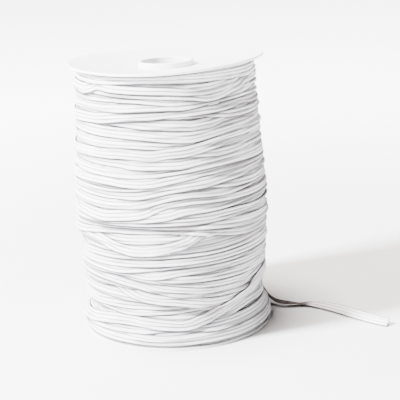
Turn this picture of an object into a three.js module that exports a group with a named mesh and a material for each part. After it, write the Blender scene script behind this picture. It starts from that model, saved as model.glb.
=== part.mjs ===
// A roll of flat braided elastic on a white flanged spool, with its loose end on the table.
// Millimetres, +Z up. The origin is on the roll's axis at the underside of the lower flange.
// Angles round the roll are in degrees from the front (-Y), growing towards +X.

import * as THREE from 'three';

// Spool
const flangeRadius = 56;
const flangeThickness = 1.5;
const spoolHeight = 157;
const coreRadius = 16;
const coreWall = 2;
const collarHeight = 3.2;
const pieceGap = 0.3;
const flangeRings = 6;

// The wound elastic presses the upper flange's rim up, so it is dished, warped and askew
const flangeDish = 4.9;
const flangeWarp = 1.1;
const flangeWarpAngle = THREE.MathUtils.degToRad(-12);
const flangeTiltX = 0.011;
const flangeTiltY = -0.005;

// Elastic band
const bandWidth = 6;
const bandThickness = 0.9;

// Wound body
const windingOffset = -0.5;
const turnPitch = 6.6;
const turnRelief = 0.5;
const windingRows = 64;
const windingColumns = 72;

// How the ridges of the turns wander round the roll, in millimetres, and up it
const ridgeDrift = { slow: 2.6, slowPhase: 0.4, slowClimb: 45, quick: 1.3, quickClimb: 30 };
const ridgeWaver = { phase: 0.9, climb: 14 };

// A proud band's swell: half its width, and the share of its length over which it fades
const proudHalfWidth = 3.6;
const proudFade = 0.12;

// Mean radius of the wound face at each height
const woundProfile = [
  { height: 0, radius: 55.6 },
  { height: 5, radius: 55.4 },
  { height: 10, radius: 54.2 },
  { height: 16, radius: 52.6 },
  { height: 22, radius: 52.8 },
  { height: 32, radius: 54.0 },
  { height: 50, radius: 54.9 },
  { height: 66, radius: 55.6 },
  { height: 80, radius: 55.9 },
  { height: 95, radius: 54.9 },
  { height: 110, radius: 53.6 },
  { height: 126, radius: 52.8 },
  { height: 140, radius: 51.5 },
  { height: 157, radius: 51.0 },
];

// Bands that lie proud of the turns beneath them: where each starts and ends,
// how far its middle bows above the straight line, and how far it stands out
const proudBands = [
  { from: -50, fromHeight: 149, to: 32, toHeight: 145.5, bow: 0, proud: 0.7 },
  { from: 16, fromHeight: 139.5, to: 84, toHeight: 146.5, bow: 1, proud: 1.1 },
  { from: -45, fromHeight: 130.5, to: 60, toHeight: 137.5, bow: -0.5, proud: 0.7 },
  { from: -75, fromHeight: 125, to: 12, toHeight: 120.5, bow: 0.8, proud: 0.6 },
  { from: 12, fromHeight: 120.5, to: 75, toHeight: 125, bow: 0.5, proud: 0.6 },
  { from: -65, fromHeight: 111.3, to: 68, toHeight: 119.5, bow: -1.4, proud: 0.8 },
  { from: -28, fromHeight: 96.3, to: 55, toHeight: 104, bow: 0, proud: 0.8 },
  { from: -40, fromHeight: 90, to: 66, toHeight: 99, bow: -0.4, proud: 0.6 },
  { from: -72, fromHeight: 78.4, to: -8, toHeight: 83.5, bow: -2, proud: 0.8 },
  { from: -8, fromHeight: 83.5, to: 34, toHeight: 87, bow: 0.8, proud: 0.8 },
  { from: -52, fromHeight: 63.5, to: 26, toHeight: 68, bow: -3.4, proud: 1.4 },
  { from: -55, fromHeight: 55.4, to: 48, toHeight: 58, bow: 0.3, proud: 0.5 },
  { from: -30, fromHeight: 47, to: 66, toHeight: 52.6, bow: 0.8, proud: 0.6 },
  { from: -50, fromHeight: 40, to: 42, toHeight: 30.5, bow: 0.6, proud: 0.6 },
  { from: -4, fromHeight: 11.8, to: 66, toHeight: 33, bow: -1.6, proud: 1.3 },
  { from: -70, fromHeight: 11, to: -25, toHeight: 16, bow: 0, proud: 0.5 },
  { from: 8, fromHeight: 12.6, to: 96, toHeight: 13.4, bow: -0.6, proud: 0.6 },
  { from: 100, fromHeight: 130, to: 240, toHeight: 118, bow: -1.5, proud: 0.8 },
  { from: 120, fromHeight: 84, to: 255, toHeight: 96, bow: 1.5, proud: 0.8 },
  { from: 110, fromHeight: 62, to: 230, toHeight: 52, bow: -2, proud: 0.9 },
  { from: 130, fromHeight: 26, to: 250, toHeight: 38, bow: 1, proud: 0.8 },
];

// Route of the loose end's middle line, from where it leaves the wound face behind the
// right side to its cut end. twist turns the band about its route: 0 stands it on edge
// and -90 lays it flat.
const looseEnd = [
  { x: 47.7, y: 27.6, z: 13.2, twist: -14 },
  { x: 51.3, y: 21.9, z: 10.6, twist: -20 },
  { x: 54.3, y: 16.1, z: 7.4, twist: -26 },
  { x: 57.0, y: 10.8, z: 4.8, twist: -32 },
  { x: 60.4, y: 6.6, z: 3.4, twist: -42 },
  { x: 64.6, y: 4.4, z: 2.8, twist: -48 },
  { x: 69.2, y: 3.9, z: 2.3, twist: -56 },
  { x: 73.8, y: 4.1, z: 1.7, twist: -70 },
  { x: 78.4, y: 3.6, z: 1.4, twist: -88 },
  { x: 83, y: 1.4, z: 1.7, twist: -103 },
  { x: 87.6, y: -2.4, z: 2.1, twist: -114 },
  { x: 92.3, y: -7, z: 2.4, twist: -122 },
  { x: 97.2, y: -12.4, z: 2.5, twist: -128 },
  { x: 102, y: -17.9, z: 2.5, twist: -129 },
  { x: 106.9, y: -23.3, z: 2.4, twist: -128 },
  { x: 111.8, y: -28.4, z: 2.3, twist: -125 },
  { x: 116.5, y: -32.8, z: 2.1, twist: -120 },
  { x: 120.8, y: -36.2, z: 2.0, twist: -117 },
];
const looseEndSteps = 48;
const looseEndBevel = 0.3;

const fabricWhite = { color: 0xf3f3f2, roughness: 0.85, metalness: 0 };
const plasticWhite = { color: 0xf6f6f4, roughness: 0.45, metalness: 0 };

function part(name, geometry, finish) {
  const mesh = new THREE.Mesh(geometry, new THREE.MeshStandardMaterial(finish));
  mesh.name = name;
  return mesh;
}

// A closed profile of [radius, height] points turned round the Z axis
function turned(profile, columns) {
  const points = profile.map(([radius, height]) => new THREE.Vector2(radius, height));
  return new THREE.LatheGeometry(points, columns).rotateX(Math.PI / 2);
}

// Moves every point of a geometry by a function of its place
function reshaped(geometry, move) {
  const position = geometry.attributes.position;
  const point = new THREE.Vector3();
  for (let i = 0; i < position.count; i += 1) {
    point.fromBufferAttribute(position, i);
    move(point);
    position.setXYZ(i, point.x, point.y, point.z);
  }
  geometry.computeVertexNormals();
  return geometry;
}

// Evenly spaced heights or radii from start to end, with both ends
function spaced(start, end, count) {
  return Array.from({ length: count + 1 }, (_, i) => THREE.MathUtils.lerp(start, end, i / count));
}

// How far the upper flange stands above the level of its rim at a point
function flangeLift(x, y) {
  const reach = Math.hypot(x, y) / flangeRadius;
  const angle = Math.atan2(y, x) - flangeWarpAngle;
  const dish = flangeDish * (reach ** 2 - 1);
  const warp = flangeWarp * reach ** 2 * Math.cos(2 * angle);
  return dish + warp + flangeTiltX * x + flangeTiltY * y;
}

// Mean radius of the wound face, eased between the rows of its table
function meanRadius(height) {
  const next = Math.max(1, woundProfile.findIndex((row) => row.height >= height));
  const low = woundProfile[next - 1];
  const high = woundProfile[next];
  const share = (height - low.height) / (high.height - low.height);
  return THREE.MathUtils.lerp(low.radius, high.radius, THREE.MathUtils.smoothstep(share, 0, 1));
}

// The turns rise and fall as they go round, so their ridges drift with the angle
function turnRidges(angle, height) {
  const slow = Math.sin(angle + ridgeDrift.slowPhase + height / ridgeDrift.slowClimb);
  const quick = Math.sin(2 * angle - height / ridgeDrift.quickClimb);
  const drifted = height + ridgeDrift.slow * slow + ridgeDrift.quick * quick;
  const waver = ridgeWaver.phase * Math.sin(height / ridgeWaver.climb);
  return turnRelief * Math.cos((2 * Math.PI * drifted) / turnPitch + waver);
}

// Share of one proud band at a point: 1 on its middle line, 0 beside it and past its ends
function bandShare(band, degrees, height) {
  const turn = THREE.MathUtils.euclideanModulo(degrees - band.from, 360);
  const along = turn / (band.to - band.from);
  if (along > 1) return 0;
  const middle = THREE.MathUtils.lerp(band.fromHeight, band.toHeight, along)
    + band.bow * 4 * along * (1 - along);
  const across = (height - middle) / proudHalfWidth;
  if (Math.abs(across) > 1) return 0;
  const fade = THREE.MathUtils.smoothstep(Math.min(along, 1 - along), 0, proudFade);
  return fade * (1 - across ** 2) ** 2;
}

function proudRelief(angle, height) {
  const degrees = THREE.MathUtils.radToDeg(angle);
  const heights = proudBands.map((band) => band.proud * bandShare(band, degrees, height));
  return Math.max(...heights);
}

function makeBottomFlange() {
  const hole = coreRadius + pieceGap;
  const profile = [
    [hole, 0],
    [flangeRadius, 0],
    [flangeRadius, flangeThickness],
    [hole, flangeThickness],
    [hole, 0],
  ];
  return part('bottom_flange', turned(profile, windingColumns), plasticWhite);
}

function makeTopFlange() {
  const underside = spoolHeight - flangeThickness;
  const radii = spaced(coreRadius + pieceGap, flangeRadius, flangeRings);
  const lower = radii.map((radius) => [radius, underside]);
  const upper = radii.map((radius) => [radius, spoolHeight]).reverse();
  const disc = turned([...lower, ...upper, lower[0]], windingColumns);
  const lifted = reshaped(disc, (point) => {
    point.z += flangeLift(point.x, point.y);
  });
  return part('top_flange', lifted, plasticWhite);
}

// The core's upper end stands above the sunken middle of the upper flange as a low collar,
// open right through
function makeCoreTube() {
  const bore = coreRadius - coreWall;
  const top = spoolHeight + flangeDish * ((coreRadius / flangeRadius) ** 2 - 1) + collarHeight;
  const profile = [
    [bore, 0],
    [coreRadius, 0],
    [coreRadius, top],
    [bore, top],
    [bore, 0],
  ];
  return part('core_tube', turned(profile, 48), plasticWhite);
}

// One annular body: barrel face with its turns and proud bands, flat below, and above
// following the upper flange
function makeWinding() {
  const bottom = flangeThickness + pieceGap;
  const top = spoolHeight - flangeThickness - pieceGap;
  const inner = coreRadius + pieceGap;
  const face = spaced(bottom, top, windingRows).map((height) => [meanRadius(height), height]);
  const lid = spaced(meanRadius(top), inner, flangeRings).slice(1).map((radius) => [radius, top]);
  const body = turned([[inner, bottom], ...face, ...lid, [inner, bottom]], windingColumns);
  const shaped = reshaped(body, (point) => {
    const radius = Math.hypot(point.x, point.y);
    if (radius > inner + 1) {
      const angle = Math.atan2(point.x, -point.y);
      const relief = turnRidges(angle, point.z) + proudRelief(angle, point.z);
      point.multiply(new THREE.Vector3(1 + relief / radius, 1 + relief / radius, 1));
      point.x += windingOffset;
    }
    point.z += flangeLift(point.x, point.y) * ((point.z - bottom) / (top - bottom));
  });
  return part('elastic_winding', shaped, fabricWhite);
}

// A flat rounded section carried along the loose end's route, turned by its twist
function makeLooseEnd() {
  const route = new THREE.CatmullRomCurve3(
    looseEnd.map((row) => new THREE.Vector3(row.x, row.y, row.z)),
    false,
    'centripetal',
  );
  const twists = new THREE.SplineCurve(looseEnd.map((row, i) => new THREE.Vector2(i, row.twist)));
  const halfWidth = bandWidth / 2;
  const halfThick = bandThickness / 2;
  const section = [
    [-halfThick, -halfWidth + looseEndBevel],
    [-halfThick + looseEndBevel, -halfWidth],
    [halfThick - looseEndBevel, -halfWidth],
    [halfThick, -halfWidth + looseEndBevel],
    [halfThick, halfWidth - looseEndBevel],
    [halfThick - looseEndBevel, halfWidth],
    [-halfThick + looseEndBevel, halfWidth],
    [-halfThick, halfWidth - looseEndBevel],
  ];
  const upright = new THREE.Vector3(0, 0, 1);
  const positions = [];
  const faces = [];
  for (let step = 0; step <= looseEndSteps; step += 1) {
    const share = step / looseEndSteps;
    const middle = route.getPoint(share);
    const ahead = route.getTangent(share);
    const side = new THREE.Vector3().crossVectors(upright, ahead).normalize();
    const above = new THREE.Vector3().crossVectors(ahead, side);
    const twist = THREE.MathUtils.degToRad(twists.getPoint(share).y);
    const across = above.clone().multiplyScalar(Math.cos(twist)).addScaledVector(side, Math.sin(twist));
    const out = new THREE.Vector3().crossVectors(across, ahead);
    for (const [thick, wide] of section) {
      const point = middle.clone().addScaledVector(out, thick).addScaledVector(across, wide);
      positions.push(point.x, point.y, point.z);
    }
  }
  const sides = section.length;
  for (let step = 0; step < looseEndSteps; step += 1) {
    for (let i = 0; i < sides; i += 1) {
      const a = step * sides + i;
      const b = step * sides + ((i + 1) % sides);
      faces.push(a, b, a + sides, b, b + sides, a + sides);
    }
  }
  const last = looseEndSteps * sides;
  for (let i = 1; i < sides - 1; i += 1) {
    faces.push(0, i + 1, i);
    faces.push(last, last + i, last + i + 1);
  }
  const geometry = new THREE.BufferGeometry();
  geometry.setAttribute('position', new THREE.Float32BufferAttribute(positions, 3));
  geometry.setIndex(faces);
  geometry.computeVertexNormals();
  return part('loose_end', geometry, fabricWhite);
}

const roll = new THREE.Group();
roll.add(makeBottomFlange(), makeTopFlange(), makeCoreTube(), makeWinding(), makeLooseEnd());

export default roll;
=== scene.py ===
"""A roll of flat braided elastic on a white flanged spool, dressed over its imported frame.

Blender's units are metres. Names that end in _mm are millimetres, and angles round the roll
are in degrees from the front (-Y), growing towards +X.
"""

import math

import bpy
import numpy as np
from mathutils import Matrix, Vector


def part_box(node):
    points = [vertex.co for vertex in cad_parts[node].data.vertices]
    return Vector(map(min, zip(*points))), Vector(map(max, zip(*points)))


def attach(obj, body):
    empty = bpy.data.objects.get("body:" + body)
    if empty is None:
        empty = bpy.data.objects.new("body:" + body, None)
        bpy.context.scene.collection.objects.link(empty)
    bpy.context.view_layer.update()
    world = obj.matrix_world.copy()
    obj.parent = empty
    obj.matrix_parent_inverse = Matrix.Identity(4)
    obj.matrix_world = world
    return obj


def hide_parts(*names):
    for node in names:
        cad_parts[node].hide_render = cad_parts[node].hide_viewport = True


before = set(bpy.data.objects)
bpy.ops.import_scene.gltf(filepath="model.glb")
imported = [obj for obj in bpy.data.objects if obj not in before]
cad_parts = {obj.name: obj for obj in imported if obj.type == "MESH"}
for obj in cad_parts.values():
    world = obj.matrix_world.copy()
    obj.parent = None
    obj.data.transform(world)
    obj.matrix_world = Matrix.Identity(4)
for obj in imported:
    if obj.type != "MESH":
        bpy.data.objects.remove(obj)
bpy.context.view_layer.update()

MM = 0.001

# Sizes read from the frame
WOUND_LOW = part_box("elastic_winding")[0]
LOWER_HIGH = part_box("bottom_flange")[1]
CORE_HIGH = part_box("core_tube")[1]
FLANGE_RADIUS_MM = LOWER_HIGH.x / MM
FLANGE_THICK_MM = LOWER_HIGH.z / MM
CORE_RADIUS_MM = CORE_HIGH.x / MM
CORE_TOP_MM = CORE_HIGH.z / MM
PIECE_GAP_MM = round(WOUND_LOW.z / MM - FLANGE_THICK_MM, 1)

# The spool: the level of its upper rim, its wall and its rounded edges
SPOOL_TOP_MM = 157.0
CORE_WALL_MM = 2.0
CORE_EDGE_MM = 0.5
FLANGE_EDGE_MM = 0.45
FLANGE_EDGE_TURN = 80
FLANGE_RINGS = 12
CORE_RINGS = 12

# The wound elastic presses the upper flange's rim up, so it is dished, warped and askew
FLANGE_DISH_MM = 4.9
FLANGE_WARP_MM = 1.1
FLANGE_WARP_ANGLE = math.radians(-12)
FLANGE_TILT_X = 0.011
FLANGE_TILT_Y = -0.005

# The elastic band: its width, thickness and crown, its ribs and how much their height differs
# from turn to turn, and the thickness of its rounded edges as shares of the band's
BAND_WIDTH_MM = 6.0
BAND_THICK_MM = 1.05
BAND_CROWN_MM = 0.2
RIB_COUNT = 3
RIB_HEIGHT_MM = 0.34
RIB_SPREAD = (0.6, 1.5)
EDGE_TOP = 0.4
EDGE_BASE = 0.2
FINE_SECTION = (16, 4)
COARSE_SECTION = (5, 2)

# The braid: length and slant of a stitch, its relief, and the fuzz of its threads. Real
# stitches are a little shorter; these are drawn long enough to show.
STITCH_MM = 1.3
STITCH_SLANT = 1.6
STITCH_RELIEF = 0.5
STITCH_BUMP = 0.6
STITCH_DEPTH_MM = 0.2
FUZZ_MM = 0.5

# Where the band is darkened with painted shade: the groove between ribs, as a share of a rib,
# in patches of a drift noise, and the turned edge
GROOVE_REACH = 0.24
DRIFT_MM = 24
DRIFT_GAIN = 1.6
DRIFT_BIAS = -0.05
EDGE_SHADE_MM = 0.5

# The stretch of the loose end darkened with painted shadow: from and to along it, its fades,
# its uneven edge and the share of the shadow's colour
SHADOWED_MM = (13, 49)
SHADOW_RISE_MM = 8
SHADOW_FALL_MM = 3
SHADOW_SWAY_MM = 3.0
SHADOW_CLOUD_MM = 5
SHADOW_COVER = 0.95

# The moulded skin of the spool, and the glow of the light table in metres from the axis
SKIN_MM = 9
SKIN_DEPTH_MM = 0.25
GLOW_START = 0.08
GLOW_END = 0.9
GLOW_STRENGTH = 6.0

# Colours
ELASTIC_WHITE = "#F6F4F6"
# Painted shade: in the grooves between ribs, along the band's edges and in the nooks between turns
ELASTIC_GROOVE_SHADE = "#857F83"
ELASTIC_EDGE_SHADE = "#5E595B"
ELASTIC_NOOK_SHADE = "#3C3739"
# Painted shadow on a stretch of the loose end
ELASTIC_SHADOW = "#54473F"
SPOOL_WHITE = "#F2F1EF"
FLOOR_WHITE = "#E6E6E6"
GLOW_WHITE = "#FFFFFF"

# The camera, fitted to both rims of the spool in the photograph: place in metres, its look
# down, to the right and its roll in radians
CAMERA_PLACE = (0.0, -0.6093, 0.2352)
CAMERA_PITCH = math.radians(15.01)
CAMERA_YAW = math.radians(1.51)
CAMERA_ROLL = math.radians(2.62)
CAMERA_LENS_MM = 95.77
CAMERA_SENSOR_MM = 36.0

# The studio: lights as name, place, aim and size in metres, power in watts and colour
LIGHTS = [
    ("key", (-1.3, -0.5, 1.15), (0, 0, 0.07), 0.25, 300, "#F7F8FF"),
    ("overhead", (-0.15, 0.0, 1.35), (0, 0, 0.1), 0.4, 70, "#FFF7F0"),
]
FLOOR_HALF = 6.0
WORLD_LIGHT = 0.03

# Mean radius of the wound face at each height, in millimetres
WOUND_PROFILE = [
    (0, 56.2),
    (5, 56.2),
    (10, 53.8),
    (16, 51.8),
    (22, 52.2),
    (32, 54.0),
    (50, 55.3),
    (66, 55.8),
    (80, 56.3),
    (95, 55.4),
    (110, 53.9),
    (126, 53.2),
    (140, 51.9),
    (157, 51.5),
]

# The winding stands off the spool's axis to the left, by this much from this height up
WOUND_OFFSET_MM = -0.7
OFFSET_HEIGHT_MM = 30

# The route of the loose end, in millimetres, with the band's twist in degrees:
# 0 stands it on edge and -90 lays it flat
LOOSE_END_STEPS = 140
LOOSE_END = [
    (47.7, 27.6, 13.2, -14),
    (51.3, 21.9, 10.6, -20),
    (54.3, 16.1, 7.4, -26),
    (57.0, 10.8, 4.8, -32),
    (60.4, 6.6, 3.4, -42),
    (64.6, 4.4, 2.8, -48),
    (69.2, 3.9, 2.3, -56),
    (73.8, 4.1, 1.7, -70),
    (78.4, 3.6, 1.4, -88),
    (83.0, 1.4, 1.7, -103),
    (87.6, -2.4, 2.1, -114),
    (92.3, -7.0, 2.4, -122),
    (97.2, -12.4, 2.5, -128),
    (102.0, -17.9, 2.5, -129),
    (106.9, -23.3, 2.4, -128),
    (111.8, -28.4, 2.3, -125),
    (116.5, -32.8, 2.1, -120),
    (120.8, -36.2, 2.0, -117),
]

# The turns that show, in the order they were wound: each is a name and the height of its
# lower edge at a few angles. Where both ends meet round the back the turn is closed.
TURNS = [
    ("foot_fill", [(-30, 5.6), (0, 6.4), (90, 6.2), (110, 6)]),
    ("foot", [(-90, 3.1), (0, 3.2), (90, 3.4)]),
    ("diagonal_root", [(0, 10.7), (15, 11.3), (40, 12), (90, 12), (110, 12)]),
    ("foot_upper", [(-90, 6), (-40, 8.2), (-20, 9), (-5, 9.7), (10, 9.5), (20, 8.7),
                    (35, 8.9), (60, 9.2), (90, 8.8)]),
    ("waist_low", [(-90, 12), (-60, 12.8), (0, 13.5), (20, 14), (35, 14.4), (45, 15.8),
                   (52, 16.7), (60, 16.9), (70, 16), (90, 14.5)]),
    ("waist_mid", [(-90, 17.5), (-60, 18.7), (-40, 18.3), (-30, 17.3), (-20, 16), (-10, 15.5),
                   (0, 14.9), (10, 14.8), (20, 16), (30, 18.5), (40, 22), (60, 26), (90, 25)]),
    ("waist_high", [(-90, 20.8), (-60, 20), (-45, 19.4), (-35, 18.6), (-25, 18.7), (-10, 19.7),
                    (0, 20.3), (10, 20.6), (25, 21.3), (40, 22), (60, 22), (90, 21)]),
    ("dip_under", [(-90, 21), (-62, 21.2), (-45, 22.2), (-30, 22.6), (-10, 23), (30, 24),
                   (90, 24)]),
    ("dip_low", [(-90, 27.2), (-60, 28), (-40, 28.2), (-30, 27.8), (-20, 27), (-10, 26),
                 (0, 25.2), (20, 23.5), (60, 26), (90, 27)]),
    ("dip_mid", [(-90, 33.8), (-70, 34), (-50, 34.8), (-42, 35.6), (-35, 33.8), (-30, 31.5),
                 (-20, 28), (-10, 26.5), (0, 25.7), (10, 24), (24, 22.3), (40, 22.5), (60, 26),
                 (90, 29)]),
    ("dip_fill", [(-90, 35), (-40, 36), (0, 33.5), (30, 31), (50, 31.4), (70, 32.6), (90, 33.5)]),
    ("dip_high", [(-90, 37.5), (-60, 38.8), (-40, 38.2), (-27, 36.5), (-20, 35.3), (-10, 32.7),
                  (0, 31), (10, 29.8), (20, 28.8), (36, 27.8), (60, 29), (90, 32)]),
    ("fork", [(-90, 41.5), (-60, 42.5), (-40, 42.2), (-20, 40.5), (-10, 38.7), (0, 37.2),
              (10, 36), (20, 34.7), (40, 33.6), (46, 33.3), (52, 34.7), (60, 35.9), (90, 36)]),
    ("fork_fill", [(-15, 40.6), (0, 39.2), (40, 38.2), (60, 38), (90, 38.6), (110, 38.6)]),
    ("diagonal", [(-150, 5), (-90, 5.6), (-68, 8), (-60, 9.3), (-50, 11), (-35, 12.4),
                  (-20, 12), (-10, 11.2), (4, 10.8), (15, 12.8), (20, 14), (30, 17), (40, 21),
                  (50, 24.4), (57, 26.6), (70, 28.6), (90, 29.2), (130, 29)]),
    ("lap_low", [(-90, 41), (-60, 42), (-40, 43), (-28, 42.6), (-15, 41.3), (0, 43),
                 (12, 43.8), (30, 44), (50, 43.8), (70, 43.5), (90, 42)]),
    ("lap_mid", [(-90, 44), (-50, 44.6), (-35, 44.3), (-20, 45.9), (-10, 46.9), (0, 47.8),
                 (20, 48.2), (40, 48.5), (50, 49.4), (60, 49.8), (90, 48)]),
    ("lap_fill", [(-90, 47.6), (-40, 48), (0, 49.5), (40, 50.6), (90, 50.6)]),
    ("lap_high", [(-90, 51), (-50, 52.3), (-30, 52.8), (-10, 53.6), (0, 54), (20, 54.3),
                  (40, 55.1), (60, 56), (90, 55)]),
    ("slack_under", [(-90, 58), (-60, 57.2), (-40, 56.6), (-20, 57.4), (0, 58.7), (10, 59.6),
                     (20, 60.2), (40, 61), (60, 60.3), (90, 59)]),
    ("slack_upper", [(-90, 61), (-60, 61.6), (-40, 61.2), (-30, 61.1), (-20, 61.5), (-10, 61.9),
                     (0, 62), (10, 62.8), (20, 65.5), (32, 66.3), (60, 66), (90, 65)]),
    ("slack_loop", [(-90, 60), (-60, 60.6), (-45, 59.5), (-38, 57.7), (-30, 56), (-20, 55.4),
                    (-10, 56.2), (0, 58), (8, 60.3), (15, 63.4), (21, 65.4), (35, 66.5),
                    (60, 66), (90, 65)]),
    ("ramp", [(-90, 61.5), (-70, 62.8), (-50, 65.8), (-40, 66.9), (-20, 67.8), (0, 67.6),
              (10, 66.6), (20, 65.3), (30, 63.8), (40, 62.2), (48, 61.5), (60, 61.3), (90, 60.5)]),
    ("ramp_upper", [(-90, 65.5), (-60, 68.6), (-40, 70.3), (-20, 71), (0, 70.2), (20, 69),
                    (35, 67.6), (50, 66.5), (70, 66), (90, 65)]),
    ("waver_fill", [(-25, 74.4), (0, 74.8), (30, 75), (60, 75.7), (90, 74.9), (110, 75)]),
    ("waver_low", [(-90, 69), (-60, 70.5), (-40, 71.8), (-20, 72.5), (0, 72.6), (15, 72.2),
                   (35, 72.8), (45, 72.6), (60, 71.8), (90, 71)]),
    ("waver_mid", [(-90, 71.5), (-60, 72), (-40, 73), (-20, 74.4), (-5, 75.6), (0, 76.5),
                   (5, 77.7), (10, 78.2), (20, 78.5), (30, 79), (50, 80.8), (60, 81),
                   (90, 79.5)]),
    ("waver", [(-90, 76), (-60, 74.8), (-50, 74.2), (-42, 74), (-35, 74.7), (-20, 76.5),
               (-15, 77.8), (-10, 80), (-5, 81.6), (0, 82.5), (10, 83.8), (18, 83.7),
               (30, 83.2), (45, 83), (60, 82.8), (90, 82.8)]),
    ("waver_high", [(-90, 81.5), (-60, 81.2), (-40, 80.9), (-20, 82.3), (-10, 84.6), (0, 86.6),
                    (10, 87.4), (20, 87), (32, 86.5), (45, 87.3), (55, 87.9), (70, 88),
                    (90, 87.5)]),
    ("turned_edge", [(-90, 90), (-40, 91.5), (0, 93), (20, 92.2), (27, 91.3), (35, 90.5),
                     (50, 89.8), (60, 89.6), (90, 91)]),
    ("rise_low", [(-90, 87), (-60, 87.6), (-35, 87.2), (-20, 87.5), (-10, 89), (0, 90.7),
                  (20, 92.3), (30, 93.5), (45, 95), (60, 95.5), (90, 94.5)]),
    ("rise_mid", [(-90, 93), (-60, 94.3), (-40, 94.5), (-25, 93.8), (-12, 94.1), (0, 96),
                  (10, 97.3), (20, 98.5), (38, 99.8), (55, 100.3), (90, 99.5)]),
    ("rise_high", [(-90, 99.9), (-60, 99.7), (-25, 98.9), (-10, 99.4), (0, 100.3), (10, 101.3),
                   (20, 102.2), (30, 102.8), (40, 103), (55, 102.7), (90, 101.5)]),
    ("level_low", [(-90, 106), (-70, 105.6), (-50, 105.1), (-30, 104.5), (-20, 103.6),
                   (0, 103.5), (6, 103.4), (15, 104.6), (25, 105.6), (40, 106.3), (60, 106),
                   (90, 105.5)]),
    ("level_mid", [(-90, 108.5), (-60, 109.5), (0, 109.8), (10, 109.4), (22, 108.8),
                   (30, 108.5), (40, 109), (50, 109.7), (60, 110.3), (90, 109.5)]),
    ("level_high", [(-90, 115.6), (-60, 115.1), (-40, 114.6), (-20, 114.8), (-8, 114.2),
                    (0, 113.8), (15, 114.8), (25, 116), (40, 117.5), (90, 116)]),
    ("crest_low", [(-90, 107.5), (-60, 108.4), (-40, 109), (-30, 109.5), (-20, 109),
                   (-10, 108.5), (0, 109.5), (10, 110), (20, 111.5), (30, 113.3), (35, 114.2),
                   (50, 115), (60, 115.5), (90, 114.5)]),
    ("crest_mid", [(-90, 121.5), (-70, 121.8), (-50, 121.3), (-30, 120.6), (-20, 120.2),
                   (-10, 119.3), (0, 118.2), (10, 117.5), (15, 117.5), (25, 118.8),
                   (40, 120.3), (55, 120.5), (90, 120)]),
    ("crest_high", [(-90, 127), (-60, 127.5), (-40, 127.5), (-30, 127), (-20, 126.2),
                    (-10, 125.2), (0, 124.5), (10, 123.8), (15, 123.6), (25, 124.3),
                    (35, 125.7), (50, 126.6), (60, 125.8), (90, 125.5)]),
    ("pale_strip", [(-30, 131), (0, 131.6), (20, 130.5), (30, 129.5), (40, 128.3), (50, 128),
                    (68, 128), (90, 128.5), (110, 128.5)]),
    ("swell_low", [(-90, 126.5), (-60, 127.5), (-42, 128), (-30, 129.3), (-20, 130), (0, 131),
                   (20, 131.8), (36, 132.5), (50, 133.7), (58, 133.5), (70, 133), (90, 132)]),
    ("swell_mid", [(-90, 133.4), (-62, 134.2), (-45, 134), (-30, 134.3), (-15, 135), (0, 135.2),
                   (10, 135), (30, 137), (60, 138), (90, 137)]),
    ("swell_high", [(-90, 140.2), (-60, 139.8), (-40, 139.8), (-20, 139.5), (-10, 138.6),
                    (0, 137.6), (5, 137.4), (15, 137.6), (30, 138.2), (35, 139), (50, 139.7),
                    (60, 140.5), (68, 142), (90, 142)]),
    ("lifted", [(-90, 144), (-60, 144), (-20, 142), (0, 141), (15, 139.8), (25, 138.5),
                (35, 139.5), (43, 141.2), (50, 142.7), (55, 144), (70, 144.8), (90, 145)]),
    ("crown", [(-90, 152.4), (-20, 151.6), (0, 151.8), (40, 152.6), (70, 153.2), (90, 153.4)]),
    ("folded", [(-170, 142.6), (-90, 142.8), (-72, 143.2), (-58, 143), (-52, 144.2),
                (-46, 146), (-35, 145.1), (-20, 144.3), (0, 143.5), (12, 142.6), (25, 142.4),
                (34, 143.2), (46, 144.5)]),
    ("brow", [(-90, 150), (-60, 149.3), (-40, 149), (-25, 149.6), (-12, 149.8), (10, 149.2),
              (30, 148.8), (45, 148.7), (60, 148.3), (75, 149), (90, 149.6)]),
    ("leaving", [(117, 10.4), (130, 11.4), (150, 12.6), (180, 13.4), (205, 13), (232, 12)]),
]

# Turns that don't run all the way round: where each starts and ends, and how deep its
# start and its end tuck under their neighbours, in millimetres
OPEN_TURNS = {
    "diagonal": (-150, 130, 2.0, 2.0),
    "folded": (-170, 46, 2.0, 2.0),
    "leaving": (117, 232, 0.0, 3.5),
    "foot_fill": (-30, 110, 2.0, 2.0),
    "diagonal_root": (0, 110, 2.0, 2.0),
    "fork_fill": (-15, 110, 2.5, 2.0),
    "pale_strip": (-30, 110, 2.0, 2.0),
    "waver_fill": (-25, 110, 2.0, 2.0),
}

# How far a slack turn stands off the roll, or a tight one presses in: name, angle, half
# span in degrees, height in mm
SLACK = [
    ("diagonal", 66, 30, -0.6),
    ("diagonal", -88, 30, -0.8),
    ("foot_upper", -88, 30, -0.6),
    ("waver_high", 88, 22, -0.6),
    ("turned_edge", 88, 22, -0.6),
    ("swell_low", -88, 22, -0.5),
    ("slack_loop", -14, 32, 2.4),
    ("slack_upper", -14, 34, 1.2),
    ("diagonal", 30, 30, 0.6),
    ("lifted", 46, 20, 1.2),
    ("dip_mid", -28, 14, 0.8),
    ("folded", -60, 14, 1.0),
]

# Extra lean of a turn across its width: name, angle, half span in degrees, rise per mm.
# A positive lean turns its upper edge outwards.
LEANS = [
    ("foot_upper", -90, 50, -0.2),
    ("diagonal", -90, 50, -0.25),
    ("diagonal", 60, 45, -0.25),
    ("waist_low", 62, 26, 0.2),
    ("brow", -5, 40, -0.45),
    ("turned_edge", 46, 12, -0.3),
    ("pale_strip", 52, 20, -0.35),
    ("slack_loop", -14, 28, -0.2),
    ("lifted", 52, 14, -0.25),
]

# The map of the wound face: columns round the roll, rows up it
COLUMN_STEP = 0.5
ROW_STEP_MM = 0.25
COLUMN_ANGLES = np.arange(-180, 180, COLUMN_STEP)
ROW_HEIGHTS_MM = np.arange(0, 157, ROW_STEP_MM)
MEAN_RADIUS_MM = 54.5

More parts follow.
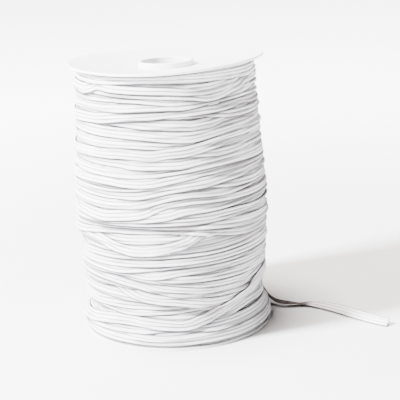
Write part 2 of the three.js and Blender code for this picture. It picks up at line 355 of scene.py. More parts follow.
# How a turn lies: places across it, the leans it may take, how tension bridges dips and how
# far it sags into them. An open turn's ends tuck in over an angle, and turns that come near
# the upper flange ease off below it. Blurs are in degrees round the roll.
ACROSS_MM = np.linspace(-BAND_WIDTH_MM / 2, BAND_WIDTH_MM / 2, 13)
ACROSS_STEP_MM = ACROSS_MM[1] - ACROSS_MM[0]
LEAN_CHOICES = np.linspace(-0.4, 0.4, 33)
LEAN_BLUR = 2.0
LEAN_SWAY = 0.09
TAUT_ROUNDS = 6
TAUT_BLUR = 1.5
SEAT_BLUR = 1.0
COVER_ROUNDS = 4
COVER_BLUR = 0.8
SAG_BLUR = 0.5
SAG_SHARE = 0.7
SAG_LIMIT_MM = 2.5
TUCK_ANGLE = 12
ROOF_EASE_MM = 2.5

# The layer beneath the turns that show: its depth, its first and last turn, its pitch and
# its slow and quick waves with how much they change from turn to turn
BASE_DEPTH_MM = 2.8
UNDER_FOOT_MM = 3.4
UNDER_HEAD_MM = 4.5
UNDER_PITCH_MM = 4.8
UNDER_SLOW_MM = 1.2
UNDER_QUICK_MM = 0.7
UNDER_DRIFT = 0.35

# How the whole roll settles, the body of turns inside it, and the detail of the pieces
SETTLE_MM = 3.6
SETTLE_ANGLE = 9.0
INNER_DEPTH_MM = 1.5
INNER_BLUR_MM = 2.2
INNER_BLUR_ANGLE = 3.0
INNER_ROWS = 150
INNER_COLUMN_STEP = 5
UNDER_COLUMN_STEP = 4
SHOWN_COLUMN_STEP = 2
TURNS_PER_PIECE = 9
WINDING_SEED = 7

# How far above a point its nook is felt, in millimetres, and how much painted shade it takes at
# each reach. An edge counts from a least step, which grows with the reach, to a share of the
# band's thickness.
NOOK_REACH = [(0.3, 1.0), (0.7, 0.9), (1.2, 0.65), (1.8, 0.45), (2.6, 0.3), (3.6, 0.15),
              (-0.5, 0.5)]
NOOK_STEP_MM = 0.2
NOOK_SLOPE = 0.15
NOOK_FULL = 0.8
NOOK_ROWS = 2


def linear(hex_colour):
    """An sRGB hex colour as linear RGBA, by the sRGB curve."""
    levels = [int(hex_colour[i:i + 2], 16) / 255 for i in (1, 3, 5)]
    curve = [c / 12.92 if c <= 0.04045 else ((c + 0.055) / 1.055) ** 2.4 for c in levels]
    return (*curve, 1.0)


def add_node(tree, kind, settings=None, **inputs):
    """Adds a shader node, sets its options and its inputs, and links the inputs that are sockets.

    An input's name is its socket's name with spaces as underscores, or i0, i1 for its place.
    """
    node = tree.nodes.new(kind)
    for name, value in (settings or {}).items():
        setattr(node, name, value)
    for name, value in inputs.items():
        by_place = name[0] == "i" and name[1:].isdigit()
        socket = node.inputs[int(name[1:]) if by_place else name.replace("_", " ")]
        if isinstance(value, bpy.types.NodeSocket):
            tree.links.new(value, socket)
        else:
            socket.default_value = value
    return node


def calculate(tree, operation, *values, clamp=False):
    """The result of a sum of up to three values."""
    inputs = {f"i{place}": value for place, value in enumerate(values)}
    settings = {"operation": operation, "use_clamp": clamp}
    return add_node(tree, "ShaderNodeMath", settings, **inputs).outputs[0]


def ramp(tree, value, low, high, bottom=0.0, top=1.0):
    """A smooth step: bottom below the low value, top above the high one."""
    node = add_node(tree, "ShaderNodeMapRange", {"interpolation_type": "SMOOTHSTEP"},
                    Value=value, From_Min=low, From_Max=high, To_Min=bottom, To_Max=top)
    return node.outputs[0]


def tinted(tree, share, under, hex_colour):
    """A colour laid over another by a share from 0 to 1."""
    return add_node(tree, "ShaderNodeMix", {"data_type": "RGBA"}, Factor=share, A=under,
                    B=linear(hex_colour)).outputs["Result"]


def new_material(name):
    """An empty node material with its output."""
    material = bpy.data.materials.new(name)
    material.use_nodes = True
    material.node_tree.nodes.clear()
    return material, material.node_tree


def finish_material(tree, shader):
    """Links a shader to the material's output."""
    add_node(tree, "ShaderNodeOutputMaterial", Surface=shader.outputs[0])


def braided_elastic(name="braided_elastic", shadowed=None):
    """Braided polyester elastic: matt white, soft, with lengthwise ribs of slanting stitches.

    The UV map holds millimetres: U along the band and V across it. The ribs are in the mesh.
    The bump adds each rib's slanting stitches, mirrored from rib to rib as a braid's are. The
    grooves between ribs, the turned edges and the nooks between turns are darkened with painted
    shade. A stretch along the band, where one is given, is darkened with painted shadow.
    """
    material, tree = new_material(name)
    uv = add_node(tree, "ShaderNodeUVMap", {"uv_map": "band"})
    split = add_node(tree, "ShaderNodeSeparateXYZ", Vector=uv.outputs[0])
    along, across = split.outputs[0], split.outputs[1]
    rib = BAND_WIDTH_MM / RIB_COUNT
    place = calculate(tree, "MULTIPLY_ADD", across, 1 / rib, RIB_COUNT / 2)
    wave = calculate(tree, "PINGPONG", place, 0.5)
    slant = calculate(tree, "MULTIPLY_ADD", wave, STITCH_SLANT * rib, along)
    stitch = calculate(tree, "SINE", calculate(tree, "MULTIPLY", slant, 2 * math.pi / STITCH_MM))
    coords = add_node(tree, "ShaderNodeTexCoord").outputs["Object"]
    fuzz = add_node(tree, "ShaderNodeTexNoise", Vector=coords, Scale=1 / (FUZZ_MM * MM),
                    Detail=2.0, Roughness=0.6)
    relief = calculate(tree, "MULTIPLY_ADD", stitch, STITCH_RELIEF, fuzz.outputs["Fac"])
    bump = add_node(tree, "ShaderNodeBump", Strength=STITCH_BUMP, Distance=STITCH_DEPTH_MM * MM,
                    Height=relief)
    drift = add_node(tree, "ShaderNodeTexNoise", Vector=coords, Scale=1 / (DRIFT_MM * MM),
                     Detail=1.0)
    patches = calculate(tree, "MULTIPLY_ADD", drift.outputs["Fac"], DRIFT_GAIN, DRIFT_BIAS)
    # Painted shade in the grooves between ribs, in patches
    groove = ramp(tree, wave, 0.0, GROOVE_REACH, 1.0, 0.0)
    share = calculate(tree, "MULTIPLY", groove, patches, clamp=True)
    colour = tinted(tree, share, linear(ELASTIC_WHITE), ELASTIC_GROOVE_SHADE)
    # Painted shade along the band's turned edges
    half = BAND_WIDTH_MM / 2
    edge_shade = ramp(tree, calculate(tree, "ABSOLUTE", across), half - EDGE_SHADE_MM, half)
    colour = tinted(tree, edge_shade, colour, ELASTIC_EDGE_SHADE)
    # Painted shade in the nooks between turns, from the nook attribute
    nook = add_node(tree, "ShaderNodeAttribute", {"attribute_name": "nook"})
    colour = tinted(tree, nook.outputs["Fac"], colour, ELASTIC_NOOK_SHADE)
    # Painted shadow over a stretch of the band, where one is given
    if shadowed:
        colour = shadowed_stretch(tree, colour, along, shadowed)
    shader = add_node(tree, "ShaderNodeBsdfPrincipled", Roughness=0.85, Base_Color=colour,
                      Normal=bump.outputs[0], Sheen_Weight=0.15, Sheen_Roughness=0.5)
    finish_material(tree, shader)
    return material


def shadowed_stretch(tree, under, along, stretch):
    """Darkens a stretch of the band, from one length along it to another in millimetres, with
    soft, slightly uneven ends."""
    # The stretch is darkened with painted shadow
    start, end = stretch
    coords = add_node(tree, "ShaderNodeTexCoord")
    cloud = add_node(tree, "ShaderNodeTexNoise", Vector=coords.outputs["Object"],
                     Scale=1 / (SHADOW_CLOUD_MM * MM), Detail=2.0)
    uneven = calculate(tree, "MULTIPLY_ADD", cloud.outputs["Fac"], SHADOW_SWAY_MM, along)
    rising = ramp(tree, uneven, start, start + SHADOW_RISE_MM)
    falling = ramp(tree, uneven, end - SHADOW_FALL_MM, end + SHADOW_FALL_MM, SHADOW_COVER, 0.0)
    return tinted(tree, calculate(tree, "MULTIPLY", rising, falling), under, ELASTIC_SHADOW)


def moulded_polystyrene():
    """Injection-moulded white polystyrene: smooth, slightly glossy, with a faint uneven skin."""
    material, tree = new_material("moulded_polystyrene")
    coords = add_node(tree, "ShaderNodeTexCoord")
    skin = add_node(tree, "ShaderNodeTexNoise", Vector=coords.outputs["Object"],
                    Scale=1 / (SKIN_MM * MM), Detail=3.0, Roughness=0.5).outputs["Fac"]
    bump = add_node(tree, "ShaderNodeBump", Strength=0.12, Distance=SKIN_DEPTH_MM * MM,
                    Height=skin)
    gloss = add_node(tree, "ShaderNodeMapRange", Value=skin, To_Min=0.38, To_Max=0.5)
    shader = add_node(tree, "ShaderNodeBsdfPrincipled", Base_Color=linear(SPOOL_WHITE),
                      Roughness=gloss.outputs[0], Normal=bump.outputs[0], IOR=1.55)
    finish_material(tree, shader)
    return material


def light_table():
    """A white acrylic table, lit from above and, further from the object, from below."""
    material, tree = new_material("light_table")
    coords = add_node(tree, "ShaderNodeTexCoord")
    reach = add_node(tree, "ShaderNodeVectorMath", {"operation": "LENGTH"},
                     i0=coords.outputs["Object"]).outputs["Value"]
    shader = add_node(tree, "ShaderNodeBsdfPrincipled", Base_Color=linear(FLOOR_WHITE),
                      Roughness=0.9, Emission_Color=linear(GLOW_WHITE),
                      Emission_Strength=ramp(tree, reach, GLOW_START, GLOW_END, 0.0,
                                             GLOW_STRENGTH))
    finish_material(tree, shader)
    return material


def grid_faces(rows, columns, rows_closed, columns_closed):
    """Corner indices of the quads between neighbouring points of a grid of rows by columns."""
    i = np.arange(rows if rows_closed else rows - 1)
    j = np.arange(columns if columns_closed else columns - 1)
    i, j = np.meshgrid(i, j, indexing="ij")
    i2, j2 = (i + 1) % rows, (j + 1) % columns
    quads = np.stack([i * columns + j, i2 * columns + j, i2 * columns + j2, i * columns + j2], -1)
    return quads.reshape(-1, 4), i.reshape(-1), j.reshape(-1)


def make_object(name, points_mm, quads, corner_uv, material):
    """A smooth mesh object from points in millimetres, quads and millimetre corner UVs."""
    mesh = bpy.data.meshes.new(name)
    mesh.vertices.add(len(points_mm))
    mesh.vertices.foreach_set("co", (points_mm * MM).astype(np.float32).ravel())
    mesh.loops.add(quads.size)
    mesh.loops.foreach_set("vertex_index", quads.astype(np.int32).ravel())
    mesh.polygons.add(len(quads))
    mesh.polygons.foreach_set("loop_start", np.arange(0, quads.size, 4, dtype=np.int32))
    mesh.polygons.foreach_set("loop_total", np.full(len(quads), 4, np.int32))
    mesh.polygons.foreach_set("use_smooth", np.ones(len(quads), bool))
    layer = mesh.uv_layers.new(name="band")
    layer.data.foreach_set("uv", corner_uv.astype(np.float32).ravel())
    mesh.update()
    mesh.validate()
    mesh.materials.append(material)
    piece = bpy.data.objects.new(name, mesh)
    bpy.context.scene.collection.objects.link(piece)
    return piece


def flange_lift(x, y):
    """Height of the upper flange above its rim's level: a dish, a saddle warp and a tilt."""
    reach = np.hypot(x, y) / FLANGE_RADIUS_MM
    angle = np.arctan2(y, x) - FLANGE_WARP_ANGLE
    dish = FLANGE_DISH_MM * (reach ** 2 - 1)
    warp = FLANGE_WARP_MM * reach ** 2 * np.cos(2 * angle)
    return dish + warp + FLANGE_TILT_X * x + FLANGE_TILT_Y * y


def rounded_corner(centre, radius, start, end, steps=5):
    """Points of an arc round a centre, from one angle in degrees to another."""
    turn = np.radians(np.linspace(start, end, steps))
    return np.stack([centre[0] + radius * np.cos(turn), centre[1] + radius * np.sin(turn)], 1)


def turned_piece(name, profile, material, lift=None, columns=180):
    """A closed profile of radius and height turned round the axis, with an optional lift of
    each point by its place."""
    angle = np.linspace(0, 2 * np.pi, columns, endpoint=False)[:, None]
    radius, height = profile[:, 0][None, :], profile[:, 1][None, :]
    x, y = radius * np.cos(angle), radius * np.sin(angle)
    z = height + (lift(x, y) if lift else 0 * x)
    points = np.stack([x, y, z], -1).reshape(-1, 3)
    quads = grid_faces(columns, len(profile), True, True)[0]
    uv = np.zeros((len(quads), 4, 2))
    return make_object(name, points, quads, uv, material)


def flange_profile(low, high):
    """Cross-section of a flange from its hole to its rounded rim, as radius and height."""
    hole = CORE_RADIUS_MM + PIECE_GAP_MM
    edge, turn = FLANGE_EDGE_MM, FLANGE_EDGE_TURN
    radii = np.linspace(hole, FLANGE_RADIUS_MM - edge, FLANGE_RINGS)
    lower = np.stack([radii, np.full(FLANGE_RINGS, low)], 1)
    upper = np.stack([radii[::-1], np.full(FLANGE_RINGS, high)], 1)
    turn_low = rounded_corner((FLANGE_RADIUS_MM - edge, low + edge), edge, -turn, 0)
    turn_high = rounded_corner((FLANGE_RADIUS_MM - edge, high - edge), edge, 0, turn)
    return np.concatenate([lower, turn_low, turn_high, upper])


def core_profile():
    """Cross-section of the core tube, a wall with all four edges rounded."""
    bore, edge = CORE_RADIUS_MM - CORE_WALL_MM, CORE_EDGE_MM
    foot = rounded_corner((CORE_RADIUS_MM - edge, edge), edge, -90, 0)
    rim = rounded_corner((CORE_RADIUS_MM - edge, CORE_TOP_MM - edge), edge, 0, 90)
    lip = rounded_corner((bore + edge, CORE_TOP_MM - edge), edge, 90, 180)
    sill = rounded_corner((bore + edge, edge), edge, 180, 270)
    wall = np.linspace(edge, CORE_TOP_MM - edge, CORE_RINGS)[1:-1]
    outer = np.stack([np.full(len(wall), CORE_RADIUS_MM), wall], 1)
    inner = np.stack([np.full(len(wall), bore), wall[::-1]], 1)
    return np.concatenate([foot, outer, rim, lip, inner, sill])


def blurred(values, degrees, axis=0):
    """Gaussian blur round the roll, closed on itself."""
    waves = np.fft.rfftfreq(len(COLUMN_ANGLES), d=COLUMN_STEP)
    keep = np.exp(-2 * (np.pi * waves * degrees) ** 2)
    shape = [1] * values.ndim
    shape[axis] = -1
    spectrum = np.fft.rfft(values, axis=axis) * keep.reshape(shape)
    return np.fft.irfft(spectrum, n=len(COLUMN_ANGLES), axis=axis)


def broad_means(heights, up_mm, round_angle):
    """Gaussian means of a map of the face, up it and round it."""
    away = (ROW_HEIGHTS_MM[:, None] - ROW_HEIGHTS_MM[None, :]) / up_mm
    weights = np.exp(-0.5 * away ** 2)
    weights /= weights.sum(1)[:, None]
    return blurred(weights @ heights, round_angle, axis=1)


def eased_curve(knots, at, closed):
    """A smooth curve through knots of angle and height: cubic pieces whose slope at a knot is
    that between its neighbours. A closed curve runs on round the back."""
    angle = np.array([k[0] for k in knots], float)
    height = np.array([k[1] for k in knots], float)
    if closed:
        angle = np.concatenate([angle[-2:] - 360, angle, angle[:2] + 360])
        height = np.concatenate([height[-2:], height, height[:2]])
    slope = np.gradient(height, angle)
    slope[1:-1] = (height[2:] - height[:-2]) / (angle[2:] - angle[:-2])
    at = np.clip(at, angle[0], angle[-1])
    k = np.clip(np.searchsorted(angle, at, side="right") - 1, 0, len(angle) - 2)
    span = angle[k + 1] - angle[k]
    t = (at - angle[k]) / span
    return ((2 * t ** 3 - 3 * t ** 2 + 1) * height[k] + (t ** 3 - 2 * t ** 2 + t) * span * slope[k]
            + (3 * t ** 2 - 2 * t ** 3) * height[k + 1] + (t ** 3 - t ** 2) * span * slope[k + 1])


def hump(angle, centre, half_span):
    """1 at the centre angle, falling smoothly to 0 at half a span to either side."""
    away = (angle - centre + 180) % 360 - 180
    return np.cos(np.clip(away / half_span, -1, 1) * np.pi / 2) ** 2


def wound_radius(height):
    """Mean radius of the wound face, by smooth steps between the rows of its profile."""
    knots = np.array(WOUND_PROFILE, float)
    k = np.clip(np.searchsorted(knots[:, 0], height, side="right") - 1, 0, len(knots) - 2)
    t = np.clip((height - knots[k, 0]) / (knots[k + 1, 0] - knots[k, 0]), 0, 1)
    return knots[k, 1] + (knots[k + 1, 1] - knots[k, 1]) * t * t * (3 - 2 * t)


def axis_shift(height):
    """The winding's offset from the axis: none at the foot, growing evenly with the height."""
    return WOUND_OFFSET_MM * np.clip(height / OFFSET_HEIGHT_MM, 0, 1)


def between(place, count):
    """The point of an even row before each place, and the share of the way on to the next."""
    place = np.clip(place, 0, count - 1.001)
    low = place.astype(int)
    return low, place - low


def read_map(surface, angle, height):
    """Radius of the wound face at places on its map, by the nearest column and between rows."""
    column = np.rint((angle + 180) / COLUMN_STEP).astype(int) % len(COLUMN_ANGLES)
    low, share = between(height / ROW_STEP_MM, len(ROW_HEIGHTS_MM))
    return surface[low, column] * (1 - share) + surface[low + 1, column] * share


def lay_turn(surface, middle, active, rise=0.0, lean=0.0):
    """Lays one turn of the band on the wound face: returns its middle, its underside, its
    tilt and its course.

    At each angle the band rests as a straight strip on the two highest places beneath it, so
    it tilts where it overlaps its neighbour. Tension then lets it bridge the dips along its
    way, and it sags a little towards what is beneath. The map of the face is raised by it.
    """
    arc = np.radians(COLUMN_STEP) * MEAN_RADIUS_MM
    slope = np.gradient(middle, arc)
    course = np.arctan(slope)
    height = middle[:, None] + ACROSS_MM[None, :] * np.cos(course)[:, None]
    shift = np.degrees(ACROSS_MM[None, :] * np.sin(course)[:, None] / MEAN_RADIUS_MM)
    under = read_map(surface, COLUMN_ANGLES[:, None] - shift, height)
    reach = (under[:, :, None] - ACROSS_MM[None, :, None] * LEAN_CHOICES[None, None, :]).max(1)
    tilt = blurred(LEAN_CHOICES[reach.argmin(1)], LEAN_BLUR) + lean
    seat = (under - ACROSS_MM[None, :] * tilt[:, None]).max(1)
    for _ in range(TAUT_ROUNDS):
        seat = np.maximum(seat, blurred(seat, TAUT_BLUR))
    seat = blurred(seat, SEAT_BLUR) + rise
    line = seat[:, None] + ACROSS_MM[None, :] * tilt[:, None]
    cover = under
    for _ in range(COVER_ROUNDS):
        cover = np.maximum(cover, blurred(cover, COVER_BLUR))
    sag = np.clip(blurred(cover, SAG_BLUR) - line, -SAG_LIMIT_MM, 0)
    rest = line + SAG_SHARE * sag
    away = (ROW_HEIGHTS_MM[:, None] - middle[None, :]) / np.cos(course)[None, :]
    low, share = between((away - ACROSS_MM[0]) / ACROSS_STEP_MM, len(ACROSS_MM))
    columns = np.arange(len(COLUMN_ANGLES))[None, :]
    top = rest[columns, low] * (1 - share) + rest[columns, low + 1] * share
    covered = (np.abs(away) <= BAND_WIDTH_MM / 2) & active[None, :]
    surface[:] = np.where(covered, np.maximum(surface, top + BAND_THICK_MM), surface)
    return middle, rest, tilt, course


def band_section(top_points, bottom_points, rib_height):
    """Outline of the band's cross-section as across and thickness: flat beneath, with the ribs
    as a row of cosine crests on a low crown and a rounded edge at either side."""
    half = BAND_WIDTH_MM / 2
    top = np.linspace(half, -half, top_points)
    crest = 0.5 - 0.5 * np.cos(2 * np.pi * (top + half) * RIB_COUNT / BAND_WIDTH_MM)
    thick = BAND_THICK_MM - rib_height * (1 - crest) - BAND_CROWN_MM * (top / half) ** 2
    thick[[0, -1]] = EDGE_TOP * BAND_THICK_MM
    bottom = np.linspace(-half, half, bottom_points)
    base = np.zeros(bottom_points)
    base[[0, -1]] = EDGE_BASE * BAND_THICK_MM
    return np.stack([np.concatenate([bottom, top]), np.concatenate([base, thick])], 1)


def settling(surface):
    """How far the turns sink under tension at each place on the map: the broad part of what
    stands above the roll's mean profile."""
    excess = surface - wound_radius(ROW_HEIGHTS_MM)[:, None]
    return broad_means(excess, SETTLE_MM, SETTLE_ANGLE)


def nook_share(surface, angle, height, radius):
    """How far each point lies in the nook under a higher turn: 0 in the open and 1 just below
    an edge that stands a band's thickness proud. A nook further below an edge needs a higher
    edge."""
    share = np.zeros(radius.shape)
    for reach, weight in NOOK_REACH:
        least = NOOK_STEP_MM + NOOK_SLOPE * max(reach, 0)
        step = read_map(surface, angle, height + reach) - radius - least
        share = np.maximum(share, weight * np.clip(step / (NOOK_FULL * BAND_THICK_MM), 0, 1))
    return share


def turn_strip(laid, columns, closed, section, surface, sink):
    """Points and UVs of one laid turn: its cross-section carried round the roll, on its
    underside and square to its course and tilt, sunk with the roll's settling and kept below
    the upper flange."""
    middle, rest, tilt, course = laid
    angle = COLUMN_ANGLES[columns]
    across, thick = section[None, :, 0], section[None, :, 1]
    low, share = between((section[:, 0] - ACROSS_MM[0]) / ACROSS_STEP_MM, len(ACROSS_MM))
    base = rest[columns][:, low] * (1 - share) + rest[columns][:, low + 1] * share
    lean = np.arctan(tilt[columns])[:, None]
    course = course[columns][:, None]
    radius = base + thick * np.cos(lean)
    height = middle[columns][:, None] + (across - thick * np.sin(lean)) * np.cos(course)
    turn = np.radians(angle[:, None]) - across * np.sin(course) / radius
    # The share of painted shade in each point's nook, smoothed along the turn
    nook = nook_share(surface, np.degrees(turn), height, radius)
    rolls = range(-NOOK_ROWS, NOOK_ROWS + 1)
    nook = sum(np.roll(nook, k, axis=0) for k in rolls) / len(rolls)
    radius = radius - read_map(sink, np.degrees(turn), height)
    x, y = radius * np.sin(turn) + axis_shift(height), -radius * np.cos(turn)
    roof = SPOOL_TOP_MM - FLANGE_THICK_MM - PIECE_GAP_MM + flange_lift(x, y)
    over = np.maximum(height - (roof - ROOF_EASE_MM), 0)
    height = height - over + ROOF_EASE_MM * (1 - np.exp(-over / ROOF_EASE_MM))
    z = np.maximum(height, FLANGE_THICK_MM + PIECE_GAP_MM)
    points = np.stack([x, y, z], -1)
    step = (columns[1] - columns[0]) * np.radians(COLUMN_STEP) * MEAN_RADIUS_MM
    return points, step * np.arange(len(columns) + 1), section[:, 0], closed, nook


def join_strips(name, strips, material):
    """One object from several strips, each closed across and closed or capped along."""
    all_points, all_quads, all_uv, all_nooks = [], [], [], []
    count = 0
    for points, along, across, closed, nook in strips:
        rows, sides = points.shape[:2]
        quads, i, j = grid_faces(rows, sides, closed, True)
        next_j = (j + 1) % sides
        uv = np.stack([
            np.stack([along[i], across[j]], -1),
            np.stack([along[i + 1], across[j]], -1),
            np.stack([along[i + 1], across[next_j]], -1),
            np.stack([along[i], across[next_j]], -1),
        ], 1)
        if not closed:
            half = np.arange(sides // 2 - 1)
            front = np.stack([half, half + 1, sides - 2 - half, sides - 1 - half], -1)
            back = front[:, ::-1] + (rows - 1) * sides
            caps = np.concatenate([front, back])
            quads = np.concatenate([quads, caps])
            uv = np.concatenate([uv, np.zeros((len(caps), 4, 2))])
        all_points.append(points.reshape(-1, 3))
        all_nooks.append(nook.ravel())
        all_quads.append(quads + count)
        all_uv.append(uv)
        count += rows * sides
    quads = np.concatenate(all_quads)[:, ::-1]
    uv = np.concatenate(all_uv)[:, ::-1]
    piece = make_object(name, np.concatenate(all_points), quads, uv, material)
    # The nooks' painted shade, as an attribute on the points
    nooks = piece.data.attributes.new("nook", "FLOAT", "POINT")
    nooks.data.foreach_set("value", np.concatenate(all_nooks).astype(np.float32))
    return piece


def under_turns(rng):
    """Middle heights of the turns of the layer beneath: a steady pitch with a slow drift."""
    starts = np.arange(FLANGE_THICK_MM + UNDER_FOOT_MM, SPOOL_TOP_MM - UNDER_HEAD_MM,
                       UNDER_PITCH_MM)
    turn = np.radians(COLUMN_ANGLES)
    drift = rng.uniform(-UNDER_DRIFT, UNDER_DRIFT, (2, len(starts)))
    slow, quick = np.cumsum(drift, axis=1)
    return [start + UNDER_SLOW_MM * np.sin(turn + first)
            + UNDER_QUICK_MM * np.sin(2 * turn + second)
            for start, first, second in zip(starts, slow, quick)]


def humps(table, name):
    """The sum of a turn's humps in a table of names, centre angles, half spans and heights."""
    return sum(height * hump(COLUMN_ANGLES, centre, half_span)
               for turn, centre, half_span, height in table if turn == name)


def tucked(past_end, depth):
    """How deep an open turn's end is tucked in: all of the depth there, easing to none with
    the square of what is left of the tuck angle."""
    return depth * (1 - np.clip(past_end / TUCK_ANGLE, 0, 1)) ** 2


def inner_turns(face, material):
    """The body of turns inside the ones that show: it follows their face, a little over a
    band's thickness inside its mean, so that no gap between turns looks into a hollow."""
    low = FLANGE_THICK_MM + PIECE_GAP_MM
    high = SPOOL_TOP_MM - FLANGE_THICK_MM - FLANGE_DISH_MM - PIECE_GAP_MM
    heights = np.linspace(low, high, INNER_ROWS)
    angles = COLUMN_ANGLES[::INNER_COLUMN_STEP]
    depth = broad_means(face, INNER_BLUR_MM, INNER_BLUR_ANGLE) - INNER_DEPTH_MM
    radius = read_map(depth, angles[:, None], heights[None, :])
    hole = np.full((len(angles), 1), CORE_RADIUS_MM + PIECE_GAP_MM)
    radius = np.concatenate([hole, radius, hole], 1)
    height = np.concatenate([[low], heights, [high]])[None, :] + 0 * radius
    turn = np.radians(angles)[:, None]
    offset = axis_shift(height) * (radius > 2 * CORE_RADIUS_MM)
    points = np.stack([radius * np.sin(turn) + offset, -radius * np.cos(turn), height], -1)
    quads = grid_faces(len(angles), height.shape[1], True, True)[0]
    uv = np.zeros((len(quads), 4, 2))
    return make_object("inner_turns", points.reshape(-1, 3), quads, uv, material)


def wind_roll(material):
    """Every turn of the roll: an under layer all over, then the turns that show, each laid on
    the ones before it."""
    rng = np.random.default_rng(WINDING_SEED)
    everywhere = np.ones(len(COLUMN_ANGLES), bool)
    core = wound_radius(ROW_HEIGHTS_MM)[:, None] - BASE_DEPTH_MM
    surface = np.repeat(core, len(COLUMN_ANGLES), axis=1)
    coarse = band_section(*COARSE_SECTION, 0)
    under = []
    for middle in under_turns(rng):
        laid = lay_turn(surface, middle, everywhere)
        under.append((laid, np.arange(0, len(COLUMN_ANGLES), UNDER_COLUMN_STEP), True, coarse))
    shown = []
    turn = np.radians(COLUMN_ANGLES)
    for name, knots in TURNS:
        start, end, start_depth, end_depth = OPEN_TURNS.get(name, (-180, 180, 0, 0))
        closed = name not in OPEN_TURNS
        past_start = (COLUMN_ANGLES - start) % 360
        at = COLUMN_ANGLES if closed else start + past_start
        middle = eased_curve(knots, at, closed) + BAND_WIDTH_MM / 2
        sway = rng.uniform(0, 2 * np.pi, 2)
        wave = np.sin(2 * turn + sway[0]) + np.sin(5 * turn + sway[1])
        lean = humps(LEANS, name) + LEAN_SWAY * wave
        rise = (humps(SLACK, name) - tucked(past_start, start_depth)
                - tucked(end - start - past_start, end_depth))
        active = past_start <= end - start
        laid = lay_turn(surface, middle, active, rise, lean)
        ribbed = band_section(*FINE_SECTION, RIB_HEIGHT_MM * rng.uniform(*RIB_SPREAD))
        columns = np.argsort(past_start)[:active.sum()][::SHOWN_COLUMN_STEP]
        shown.append((laid, columns, closed, ribbed))
    sink = settling(surface)
    groups = {"under_turns": under}
    for k, first in enumerate(range(0, len(shown), TURNS_PER_PIECE)):
        groups[f"turns_{k + 1}"] = shown[first:first + TURNS_PER_PIECE]
    pieces = [
        join_strips(name, [turn_strip(*turn, surface, sink) for turn in turns], material)
        for name, turns in groups.items()
    ]
    return [*pieces, inner_turns(surface - sink, material)]


def catmull_rom(points, steps):
    """A smooth curve through points: each piece is the cubic whose end slopes are half the
    step between the neighbours. Works on rows of any width."""
    ends = np.concatenate([[2 * points[0] - points[1]], points, [2 * points[-1] - points[-2]]])
    share = np.linspace(0, len(points) - 1, steps)
    k = np.clip(share.astype(int), 0, len(points) - 2)
    t = (share - k)[:, None]
    a, b, c, d = ends[k], ends[k + 1], ends[k + 2], ends[k + 3]
    return 0.5 * (2 * b + (c - a) * t + (2 * a - 5 * b + 4 * c - d) * t ** 2
                  + (3 * b - a - 3 * c + d) * t ** 3)


def loose_end(material):
    """The loose end: the band's section carried along its route, turned by its twist, with a
    straight cut end."""
    rows = catmull_rom(np.array(LOOSE_END, float), LOOSE_END_STEPS)
    route, twist = rows[:, :3], np.radians(rows[:, 3])[:, None]
    ahead = np.gradient(route, axis=0)
    ahead /= np.linalg.norm(ahead, axis=1)[:, None]
    side = np.cross([0, 0, 1], ahead)
    side /= np.linalg.norm(side, axis=1)[:, None]
    above = np.cross(ahead, side)
    across = above * np.cos(twist) + side * np.sin(twist)
    out = np.cross(across, ahead)
    section = band_section(*FINE_SECTION, RIB_HEIGHT_MM)
    thick = section[:, 1] - BAND_THICK_MM / 2
    points = (route[:, None, :] + across[:, None, :] * section[None, :, 0, None]
              - out[:, None, :] * thick[None, :, None])
    step = np.linalg.norm(np.diff(route, axis=0), axis=1)
    along = np.concatenate([[0], np.cumsum(step), [step.sum() + step[-1]]])
    strip = (points[:, ::-1], along, section[::-1, 0], False, np.zeros(points.shape[:2]))
    piece = join_strips("loose_end_band", [strip], material)
    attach(piece, "root")
    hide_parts("loose_end")


def put_at(item, place, axes):
    """Adds a camera or a lamp to the scene, at a place and with its own right, up and back."""
    turned = Matrix(np.stack(axes, 1).tolist()).to_4x4()
    item.matrix_world = Matrix.Translation(place) @ turned
    bpy.context.scene.collection.objects.link(item)


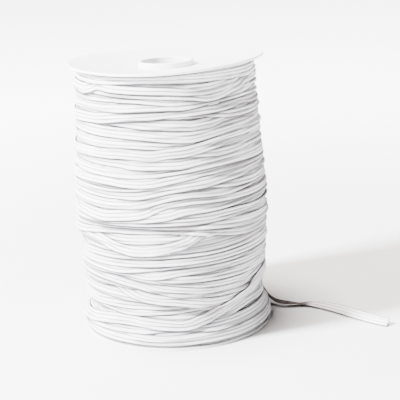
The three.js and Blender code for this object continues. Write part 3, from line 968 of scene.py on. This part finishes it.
def add_camera():
    """The photograph's camera: 609 mm in front of the axis and 235 mm up, looking 15 degrees
    down, with its small yaw and roll."""
    level = math.cos(CAMERA_PITCH)
    ahead = np.array([math.sin(CAMERA_YAW) * level, math.cos(CAMERA_YAW) * level,
                      -math.sin(CAMERA_PITCH)])
    right = np.cross(ahead, [0, 0, 1.0])
    right /= np.linalg.norm(right)
    up = np.cross(right, ahead)
    turned_right = math.cos(CAMERA_ROLL) * right - math.sin(CAMERA_ROLL) * up
    turned_up = math.sin(CAMERA_ROLL) * right + math.cos(CAMERA_ROLL) * up
    data = bpy.data.cameras.new("camera")
    data.sensor_width = CAMERA_SENSOR_MM
    data.lens = CAMERA_LENS_MM
    data.clip_start = 0.01
    data.clip_end = 50.0
    camera = bpy.data.objects.new("camera", data)
    put_at(camera, CAMERA_PLACE, [turned_right, turned_up, -ahead])
    bpy.context.scene.camera = camera


def add_light(name, place, aim, size, power, colour):
    """A square area light at a place, facing an aim point."""
    data = bpy.data.lights.new(name, "AREA")
    data.size = size
    data.energy = power
    data.color = linear(colour)[:3]
    away = np.array(place, float) - np.array(aim, float)
    away /= np.linalg.norm(away)
    right = np.cross([0, 0, 1.0], away)
    right /= np.linalg.norm(right)
    put_at(bpy.data.objects.new(name, data), place, [right, np.cross(away, right), away])


def add_studio():
    """A white light table, a strong key light from the left and a weaker one overhead."""
    half = FLOOR_HALF
    mesh = bpy.data.meshes.new("floor")
    corners = [(-half, -half, 0), (half, -half, 0), (half, half, 0), (-half, half, 0)]
    mesh.from_pydata(corners, [], [(0, 1, 2, 3)])
    mesh.materials.append(light_table())
    floor = bpy.data.objects.new("floor", mesh)
    bpy.context.scene.collection.objects.link(floor)
    for light in LIGHTS:
        add_light(*light)
    world = bpy.data.worlds.new("studio")
    world.use_nodes = True
    world.node_tree.nodes["Background"].inputs[0].default_value = linear(GLOW_WHITE)
    world.node_tree.nodes["Background"].inputs[1].default_value = WORLD_LIGHT
    bpy.context.scene.world = world


def main():
    """Builds the camera, the loose end, the winding, the spool and the studio, in this order."""
    add_camera()
    elastic = braided_elastic()
    plastic = moulded_polystyrene()
    # The loose end's material darkens its first stretch with painted shadow
    loose_end(braided_elastic("braided_elastic_end", shadowed=SHADOWED_MM))
    for piece in wind_roll(elastic):
        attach(piece, "root")
        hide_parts("elastic_winding")
    upper_level = SPOOL_TOP_MM - FLANGE_THICK_MM
    lower = turned_piece("lower_flange", flange_profile(0.0, FLANGE_THICK_MM), plastic)
    upper = turned_piece("upper_flange", flange_profile(upper_level, SPOOL_TOP_MM), plastic,
                         lift=flange_lift)
    core = turned_piece("core", core_profile(), plastic)
    for piece, node in ((lower, "bottom_flange"), (upper, "top_flange"), (core, "core_tube")):
        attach(piece, "root")
        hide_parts(node)
    add_studio()


main()
